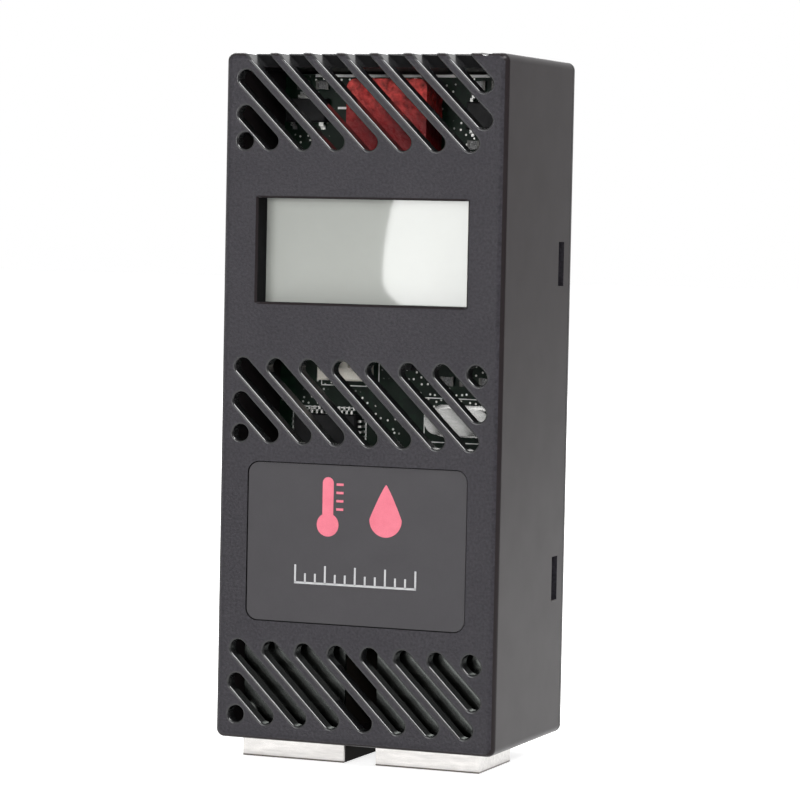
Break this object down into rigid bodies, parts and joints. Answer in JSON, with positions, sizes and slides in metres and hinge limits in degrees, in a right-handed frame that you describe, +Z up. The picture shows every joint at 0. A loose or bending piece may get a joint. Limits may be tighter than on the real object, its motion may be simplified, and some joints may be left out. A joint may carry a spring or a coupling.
{
  "type": "rack temperature sensor",
  "caption": "Upright vented plastic case with slanted vents, a display window, a label recess and shielded modular sockets below; senses rack air temperature and humidity.",
  "frame": {"origin": "centre of the rear mounting face", "axes": "+Z up along the case, front faces -Y, +Y out of the rear mounting face"},
  "size_m": [0.0434, 0.03, 0.1029],
  "materials": {
    "case_plastic": "fine moulded texture, matte dark grey",
    "label_film": "smooth satin film, dark grey",
    "polarizer_film": "clear gloss film over a grey-green display",
    "lcd_glass": "clear polished",
    "reflector_film": "satin silver-grey film",
    "connector_rubber": "pale silicone rubber",
    "holder_plastic": "plain white moulding",
    "board_laminate": "green solder mask",
    "tinned_metal": "bright tin plate",
    "shield_metal": "bright nickel-plated sheet",
    "contact_metal": "gold flash",
    "insert_plastic": "black moulding",
    "package_resin": "black moulded resin",
    "capacitor_red": "red gloss case",
    "capacitor_sleeve": "dark shrink sleeve",
    "sensor_plastic": "pale ivory moulding",
    "resistor_ceramic": "dark glazed top",
    "chip_ceramic": "tan ceramic",
    "crystal_metal": "bright drawn can",
    "screw_steel": "zinc plate"
  },
  "bodies": {
    "root": {"front_housing": "case_plastic", "rear_cover": "case_plastic", "label": "label_film", "lcd_polarizer": "polarizer_film", "lcd_front_glass": "lcd_glass", "lcd_rear_glass": "lcd_glass", "lcd_reflector": "reflector_film", "lcd_connectors": "connector_rubber", "lcd_holder": "holder_plastic", "main_board": "board_laminate", "board_screws": "screw_steel", "microcontroller": "package_resin", "microcontroller_leads": "tinned_metal", "transceiver": "package_resin", "transceiver_leads": "tinned_metal", "regulator": "package_resin", "regulator_leads": "tinned_metal", "film_capacitor": "capacitor_red", "filter_capacitor": "capacitor_sleeve", "capacitor_leads": "tinned_metal", "crystal": "crystal_metal", "humidity_sensor": "sensor_plastic", "humidity_sensor_pins": "tinned_metal", "temperature_sensor": "package_resin", "temperature_sensor_leads": "tinned_metal", "chip_resistors": "resistor_ceramic", "chip_capacitors": "chip_ceramic", "chip_terminals": "tinned_metal", "jack_shield_left": "shield_metal", "jack_insert_left": "insert_plastic", "jack_contacts_left": "contact_metal", "jack_shield_right": "shield_metal", "jack_insert_right": "insert_plastic", "jack_contacts_right": "contact_metal"}
  },
  "joints": []
}
